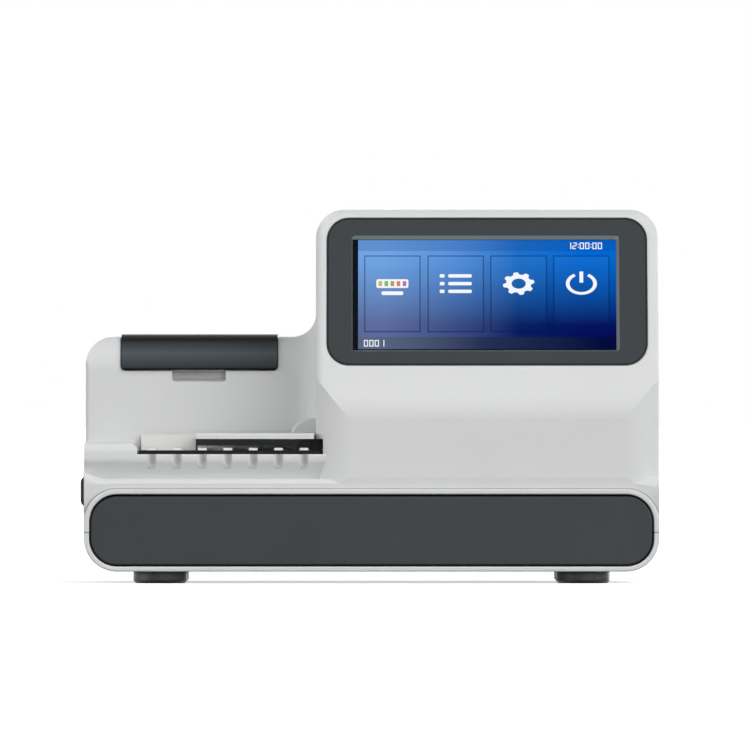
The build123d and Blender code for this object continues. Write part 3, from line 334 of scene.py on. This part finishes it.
plated = Finish("plated_steel", (0.5, 0.5, 0.49), roughness=0.4, Metallic=1.0)
crystals = plated.place.node(
    "ShaderNodeTexVoronoi", sockets={"Vector": plated.place, "Scale": 140.0}, output="Color"
)
patch = crystals.node("ShaderNodeSeparateColor", crystals)
plated.feed("Base Color", patch.tones((0.0, (0.44, 0.45, 0.45)), (1.0, (0.58, 0.58, 0.57))))
plated.feed("Roughness", 0.34 + patch * 0.14)
plated.bump(plated.noise(size=0.0008), strength=0.06)
wear(
    plated, "chassis_plate", "lcd_bracket", "comb_brackets", "optics_brackets", "printer_frame",
    "power_supply", "drawer_rail_left", "drawer_rail_right",
)


# Turned and ground steel: the runners, rods, screws and axles are bright, with fine lines along
# them from drawing or grinding. The shells of the two sockets on the back have the same shine.

bright_steel = Finish("bright_steel", (0.62, 0.62, 0.61), roughness=0.25, Metallic=1.0)
drawn = bright_steel.noise(size=0.0004, detail=2.0, stretch=(0.05, 1.0, 1.0))
bright_steel.feed("Base Color", drawn.tones((0.3, (0.56, 0.56, 0.55)), (0.7, (0.68, 0.68, 0.67))))
bright_steel.feed("Roughness", 0.2 + drawn * 0.14)
bright_steel.bump(drawn, strength=0.05)
wear(
    bright_steel, "chassis_screws", "housing_screws", "foot_screws", "drawer_screws",
    "drawer_runners", "comb_guide_rods", "comb_leadscrew", "lift_plunger", "head_guide_rods",
    "head_leadscrew", "lid_hinge_pin", "platen_axle", "serial_port", "usb_port",
)


# Motors and solenoid: small drawn steel cans, black oxidised or wound with black tape. Each motor
# is fixed to the bracket at the end of its screw, and the solenoid in the beam's carriage.

motor_black = moulded(
    "motor_black", (0.02, 0.02, 0.021), roughness=0.4, grain=0.0006, depth=0.1, tint=0.1
)
wear(motor_black, "comb_motor", "head_motor", "lift_solenoid")


# Back panel: flat steel in a grey textured powder coat, set flush into the step round its opening.
# The inlet that snaps into it and the frame of the switch in the left side are black nylon.

powder_coat = moulded(
    "powder_coat", (0.4, 0.41, 0.4), roughness=0.55, grain=0.0009, depth=0.6, spread=0.12
)
wear(powder_coat, "rear_panel")
nylon = moulded(
    "black_nylon", (0.013, 0.013, 0.014), roughness=0.4, grain=0.0005, depth=0.12, tint=0.1
)
wear(nylon, "power_inlet", "switch_frame")


# Rocker: moulded in glossy black polycarbonate, with no grain to speak of. It snaps into its frame
# on the left side, and tilts there.

rocker_gloss = moulded(
    "rocker_gloss", (0.01, 0.01, 0.01), roughness=0.16, grain=0.004, depth=0.02, tint=0.1
)
wear(rocker_gloss, "power_rocker")


# Screen: a colour display with its light behind it, which its bracket holds against the back of the
# touch glass. It shows a menu of four tiles, with a bar above and below that hold plain figures.

glass = Finish(
    "touch_glass", (0.0, 0.0, 0.0), roughness=0.04, IOR=1.5, Alpha=0.06, Specular_IOR_Level=0.1
)
glass.feed("Roughness", 0.03 + glass.noise(size=0.02, detail=4.0) * 0.05)
wear(glass, "touch_panel", "head_lens")

picture_left, picture_right = -8.0, 144.9
picture_low, picture_high = 138.5, 203.3
lower_bar_top, upper_bar_foot = 145.7, 196.8
tile_low, tile_high = 148.5, 194.2
tile_places = [(-4.5, 29.1), (33.1, 66.7), (70.3, 104.1), (107.6, 141.2)]
tile_rim = 0.8

display = Finish(
    "display", (0.0, 0.0, 0.0), roughness=0.25, Emission_Strength=1.0, Specular_IOR_Level=0.0
)
x, _, z = display.millimetres()
across = x.climb(picture_left, picture_right)
upward = z.climb(picture_low, picture_high)

# The picture is sky blue above and deep blue below, and both darken to the right
sky_blue = across.tones(
    (0.1, (0.18, 0.41, 0.84)), (0.37, (0.105, 0.31, 0.77)),
    (0.62, (0.014, 0.175, 0.64)), (0.87, (0.0, 0.15, 0.7)),
)
deep_blue = across.tones(
    (0.1, (0.117, 0.157, 0.36)), (0.37, (0.048, 0.08, 0.25)),
    (0.62, (0.002, 0.013, 0.13)), (0.87, (0.001, 0.004, 0.115)),
)
haze_low, haze_high = 0.22, 0.86
picture = upward.climb(haze_low, haze_high).blend(deep_blue, sky_blue)

# The tiles are a little lighter towards their tops, with a dark rim
tile_light, rim_dark = (0.08, 0.5, 1.0), (0.0, 0.01, 0.08)
light_share, rim_share = 0.06, 0.55
tiles, rims = [], []
for left, right in tile_places:
    tile = x.between(left, right) * z.between(tile_low, tile_high)
    inside = x.between(left + tile_rim, right - tile_rim)
    inside = inside * z.between(tile_low + tile_rim, tile_high - tile_rim)
    tiles.append(tile)
    rims.append(tile - inside)
lightened = sum(tiles) * light_share * z.climb(tile_low, tile_high)
picture = lightened.blend(picture, tile_light)
picture = (sum(rims) * rim_share).blend(picture, rim_dark)

# The bars along the lower and upper edge, and the unlit border outside the picture
upper_blue, upper_share = (0.002, 0.05, 0.3), 0.3
unlit = (0.006, 0.008, 0.012)
lower_bar = across.tones(
    (0.05, (0.115, 0.15, 0.25)), (0.5, (0.018, 0.03, 0.09)), (0.95, (0.0005, 0.0035, 0.05))
)
picture = (z < lower_bar_top).blend(picture, lower_bar)
picture = ((z > upper_bar_foot) * upper_share).blend(picture, upper_blue)
lit = x.between(picture_left, picture_right) * z.between(picture_low, picture_high)
picture = lit.blend(unlit, picture)
pixel_size, pixel_share = 0.0003, 0.03
pixels = display.noise(pixel_size, detail=1.0) * pixel_share
display.feed("Emission Color", pixels.blend(picture, (0.0, 0.0, 0.0)))
display.feed("Roughness", 0.22 + display.noise(size=0.01, detail=3.0) * 0.06)
wear(display, "lcd_module")

slope_y, slope_z = -136.0, 109.3
display_depth = -2.7


def laid(name, finish, grids, height):
    """Flat pieces on the slope: grids of x and z as seen from the front, each point carried back to
    the plane at this height over the slope, so y = slope_y + (z - slope_z) - height * root 2."""
    corners, faces, start = [], [], 0
    for x, z in grids:
        rows, columns = x.shape
        y = slope_y + (z - slope_z) - np.broadcast_to(height, x.shape) * sqrt(2)
        corners.append(np.stack([x, y, z], -1).reshape(-1, 3) / 1000)
        first = start + np.arange(rows - 1)[:, None] * columns + np.arange(columns - 1)[None, :]
        quads = np.stack([first, first + 1, first + columns + 1, first + columns], -1)
        faces.append(quads.reshape(-1, 4))
        start += rows * columns
    mesh = bpy.data.meshes.new(name)
    mesh.from_pydata(np.concatenate(corners).tolist(), [], np.concatenate(faces).tolist())
    welded = bmesh.new()
    welded.from_mesh(mesh)
    bmesh.ops.remove_doubles(welded, verts=welded.verts, dist=1e-7)
    welded.to_mesh(mesh)
    welded.free()
    mesh.materials.append(finish.material)
    made = bpy.data.objects.new(name, mesh)
    bpy.context.scene.collection.objects.link(made)
    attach(made, "case")


def rounded(left, right, low, high, radius):
    """A rounded rectangle's outline from its lower right, once round: each corner's centre plus
    radius times the cosine and sine of an angle that turns a quarter at each corner."""
    steps = 8
    turn = np.linspace(0, pi / 2, steps)
    angle = np.concatenate([turn - pi / 2, turn, turn + pi / 2, turn + pi])
    x = np.repeat([right - radius, right - radius, left + radius, left + radius], steps)
    z = np.repeat([low + radius, high - radius, high - radius, low + radius], steps)
    x, z = x + radius * np.cos(angle), z + radius * np.sin(angle)
    return np.append(x, right - radius), np.append(z, low)


def filled(left, right, low, high, radius):
    """A grid that fills a rounded rectangle: its outline, and the same drawn in to its middle, as
    the middle plus 1 or 0 times the way from there to the outline."""
    share = np.array([1.0, 0.0])[:, None]
    outline = rounded(left, right, low, high, radius)
    return tuple(line.mean() + (line[None, :] - line.mean()) * share for line in outline)


def band(middle_x, middle_z, inner, outer, start=0.0, end=2 * pi, steps=49):
    """A ring or an arc of one: the middle plus a radius from outer to inner times the cosine and
    sine of an angle from start to end. Outer may hold one radius for each angle. The slope
    shortens heights, so that the ring is as round as the display makes it."""
    shortened = 0.716
    angle = np.linspace(start, end, steps)
    radius = np.stack([np.broadcast_to(outer, angle.shape), np.broadcast_to(inner, angle.shape)])
    return middle_x + radius * np.cos(angle), middle_z + radius * shortened * np.sin(angle)


def bar_shape(left, right, low, high):
    """A plain bar: the grid of its two sides and its two ends."""
    return np.array([[left, right], [left, right]]), np.array([[low, low], [high, high]])


screen_white = Finish("screen_white", (0.0, 0.0, 0.0), roughness=0.25, Emission_Strength=1.0)
screen_white.feed("Emission Color", screen_white.noise(pixel_size, detail=1.0).tones(
    (0.0, (0.82, 0.86, 0.92)), (0.4, (0.92, 0.95, 1.0))
))
signs = []
sign_z, sign_half = 177.4, 9.5
strip, rows, wheel, power = [(left + right) / 2 for left, right in tile_places]

# Strip sign: a test strip over a short bar
strip_half = 2.6
short_half, short_low, short_high = 6.5, sign_z - 6.8, sign_z - 4.6
strip_low, strip_high = sign_z - strip_half, sign_z + strip_half
signs.append(filled(strip - sign_half, strip + sign_half, strip_low, strip_high, radius=1.1))
signs.append(filled(strip - short_half, strip + short_half, short_low, short_high, radius=1.0))

# List sign: three rows, each a dot and a line
row_pitch, row_half = 4.6, 1.0
dot_right, line_left = rows - 6.7, rows - 4.5
for row_z in (sign_z - row_pitch, sign_z, sign_z + row_pitch):
    row_low, row_high = row_z - row_half, row_z + row_half
    signs.append(filled(rows - sign_half, dot_right, row_low, row_high, radius=0.5))
    signs.append(filled(line_left, rows + sign_half, row_low, row_high, radius=0.9))

# Wheel sign: a ring with eight teeth, whose outer radius is a clipped sine of the angle
wheel_inner, wheel_outer, tooth_height, tooth_count = 4.2, 8.4, 0.95, 8
wheel_steps = 193
tooth_angle = np.linspace(0, 2 * tooth_count * pi, wheel_steps)
teeth = tooth_height * np.clip(1.9 * np.sin(tooth_angle), -1, 1)
signs.append(band(wheel, sign_z, wheel_inner, wheel_outer + teeth, steps=wheel_steps))

# Power sign: a ring open at its top, and a bar in the opening
power_inner, power_outer, opening = 7.0, 9.2, 0.16 * pi
signs.append(band(
    power, sign_z, power_inner, power_outer, pi / 2 + opening, pi * 5 / 2 - opening
))
power_half, power_low, power_high = 1.1, sign_z + 0.6, sign_z + 7.2
signs.append(bar_shape(power - power_half, power + power_half, power_low, power_high))

# Figures: up to seven bars to a figure, lettered clockwise from the top, with g across the middle
figure_width, figure_height, bar_thick = 2.5, 3.9, 0.55
figure_gap, dot_offset = bar_thick * 1.3, figure_height * 0.22
figure_bars = {"0": "abcdef", "1": "bc", "2": "abdeg"}


def figures(text, x, middle):
    """The bars of each figure of a number, set side by side from x; a colon is two dots."""
    made = []
    low, high = middle - figure_height / 2, middle + figure_height / 2
    for sign in text:
        if sign == ":":
            for place in (middle - dot_offset, middle + dot_offset):
                low_end, high_end = place - bar_thick / 2, place + bar_thick / 2
                made.append(bar_shape(x, x + bar_thick, low_end, high_end))
            x += bar_thick * 2
            continue
        left, right, end = x + bar_thick, x + figure_width - bar_thick, x + figure_width
        bars = {
            "a": (left, right, high - bar_thick, high), "b": (right, end, middle, high),
            "c": (right, end, low, middle), "d": (left, right, low, low + bar_thick),
            "e": (x, left, low, middle), "f": (x, left, middle, high),
            "g": (left, right, middle - bar_thick / 2, middle + bar_thick / 2),
        }
        made += [bar_shape(*bars[key]) for key in figure_bars[sign]]
        x += figure_width + figure_gap
    return made


clock_x, clock_z = 116.0, 199.9
number_x, number_z = -4.6, 142.0
signs += figures("12:00:00", clock_x, clock_z) + figures("0001", number_x, number_z)
sign_depth = display_depth + 0.05
laid("screen_signs", screen_white, signs, sign_depth)

# Pads of the strip sign, each in a colour of its own
screen_pads = Finish("screen_pads", (0.0, 0.0, 0.0), roughness=0.25, Emission_Strength=1.0)
pad_place = screen_pads.millimetres()[0].climb(strip - sign_half, strip + sign_half)
screen_pads.feed("Emission Color", pad_place.tones(
    (0.0, (0.75, 0.5, 0.05)), (0.35, (0.1, 0.45, 0.12)),
    (0.65, (0.75, 0.2, 0.05)), (1.0, (0.3, 0.12, 0.5)),
))
pad_pitch, pad_half = 3.6, 1.1
pad_low, pad_high = sign_z - 1.5, sign_z + 1.5
pad_places = [strip + step * pad_pitch for step in range(-2, 3)]
pads = [
    filled(place - pad_half, place + pad_half, pad_low, pad_high, radius=0.3)
    for place in pad_places
]
laid("screen_pads", screen_pads, pads, sign_depth + 0.05)


# Window's edge: the opening of the screen's frame is chamfered down to the glass all round, in the
# same moulding. Its colour is painted lighter than the frame's, for the light that it catches.

window_left, window_right = -11.8, 146.9
window_low, window_high = 137.3, 206.0
glass_left, glass_right = window_left + 0.5, window_right - 1.9
glass_low, glass_high = window_low + 0.5, window_high - 2.4
outer = rounded(window_left, window_right, window_low, window_high, radius=2.0)
inner = rounded(glass_left, glass_right, glass_low, glass_high, radius=0.6)
edge_grid = [np.stack(pair) for pair in zip(outer, inner)]
chamfer_top, chamfer_foot = 0.45, -1.45
edge_height = np.array([chamfer_top, chamfer_foot])[:, None]
# Painted light: the chamfer is coloured lighter than the slate of the same moulding
lit_chamfer_grey = moulded(
    "lit_chamfer_grey", (0.12, 0.145, 0.145), roughness=0.35, grain=0.0005, depth=0.08, tint=0.06
)
laid("window_edge", lit_chamfer_grey, [edge_grid], edge_height)


# Paper: a roll of white thermal paper, wound on a core of brown card. It lies loose in its well
# and turns there as the platen pulls it.

paper_white = moulded("paper_white", (0.82, 0.82, 0.8), roughness=0.8, grain=0.0004, depth=0.3)
wear(paper_white, "paper_roll")
card = moulded("card", (0.3, 0.22, 0.14), roughness=0.85, grain=0.0005, depth=0.4, tint=0.12)
wear(card, "paper_core")


# Main board: glass-fibre board with a green solder mask over its copper, and its parts soldered on.
# It is fixed to the four posts of the screen's bracket.

solder_mask = moulded(
    "solder_mask", (0.01, 0.12, 0.05), roughness=0.35, grain=0.0006, depth=0.1, tint=0.1
)
wear(solder_mask, "mainboard")


# Studio: the object stands on a wide pale floor under an even sky. Both look white to the camera
# and in reflections, and light the object less than they show. The floor keeps its shadows.

floor_half = 60
floor_mesh = bpy.data.meshes.new("floor")
floor_corners = [
    (across * floor_half, along * floor_half, 0)
    for across, along in ((-1, -1), (1, -1), (1, 1), (-1, 1))
]
floor_mesh.from_pydata(floor_corners, [], [(0, 1, 2, 3)])
floor = bpy.data.objects.new("floor", floor_mesh)
bpy.context.scene.collection.objects.link(floor)
pale_white, pale_glow = (0.92, 0.92, 0.92), (0.6, 0.6, 0.6)
lighting_grey, no_glow = (0.15, 0.15, 0.15), (0.0, 0.0, 0.0)
pale = Finish(
    "pale_floor", pale_white, roughness=0.9, Emission_Strength=1.0, Specular_IOR_Level=0.0
)
floor_mesh.materials.append(pale.material)


def looked_at(tree):
    """1 for what the camera, a reflection or a clear pane looks at, 0 for what only lights."""
    seen, mirrored, through = (
        Wire(tree).node("ShaderNodeLightPath", output=f"Is {kind} Ray")
        for kind in ("Camera", "Glossy", "Transmission")
    )
    return seen.at_least(mirrored).at_least(through)


seen_floor = looked_at(pale.tree)
pale.feed("Base Color", seen_floor.blend(lighting_grey, pale_white))
pale.feed("Emission Color", seen_floor.blend(no_glow, pale_glow))

world = bpy.context.scene.world or bpy.data.worlds.new("world")
bpy.context.scene.world = world
world.use_nodes = True
world.node_tree.nodes.clear()
sky_light = 0.22
sky_strength = sky_light + (1 - sky_light) * looked_at(world.node_tree)
sky = sky_strength.node("ShaderNodeBackground", (1, 1, 1, 1), sky_strength)
sky.node("ShaderNodeOutputWorld", sky)


# Lamps: three broad soft ones, far away and low. The main one stands in front on the right, so that
# the tower shades the strip table. One lights the left side, and one the back.


def soft_light(name, azimuth, height, strength, spread):
    """A far, broad light, as bright as its share of white: degrees to the right of the front and
    above the floor. It faces back along right * sin + front * cos, tipped up by its height."""
    data = bpy.data.lights.new(name, "SUN")
    data.energy, data.angle = pi * strength, radians(spread)
    made = bpy.data.objects.new(name, data)
    bpy.context.scene.collection.objects.link(made)
    turn, rise = radians(azimuth), radians(height)
    towards = Vector((sin(turn) * cos(rise), -cos(turn) * cos(rise), sin(rise)))
    made.rotation_euler = towards.to_track_quat("Z", "Y").to_euler()


soft_light("light_left", azimuth=-72, height=6, strength=0.66, spread=50)
soft_light("light_front", azimuth=42, height=17, strength=1.09, spread=80)
soft_light("light_back", azimuth=160, height=8, strength=0.6, spread=50)


# Camera: straight on from far away, so that nothing converges. Its view has the photograph's width
# at a plane a little behind the tower's front.

camera_distance = 20.0
measured_y = -0.09
view_width = 0.4442
view_x, view_z = 0.002, 0.1232
camera = bpy.data.cameras.new("camera")
camera.lens = camera.sensor_width * (camera_distance + measured_y) / view_width
camera.clip_start, camera.clip_end = 1.0, 120.0
eye = bpy.data.objects.new("camera", camera)
bpy.context.scene.collection.objects.link(eye)
eye.location = (view_x, -camera_distance, view_z)
eye.rotation_euler = (pi / 2, 0, 0)
bpy.context.scene.camera = eye
bpy.context.scene.view_settings.view_transform = "Standard"
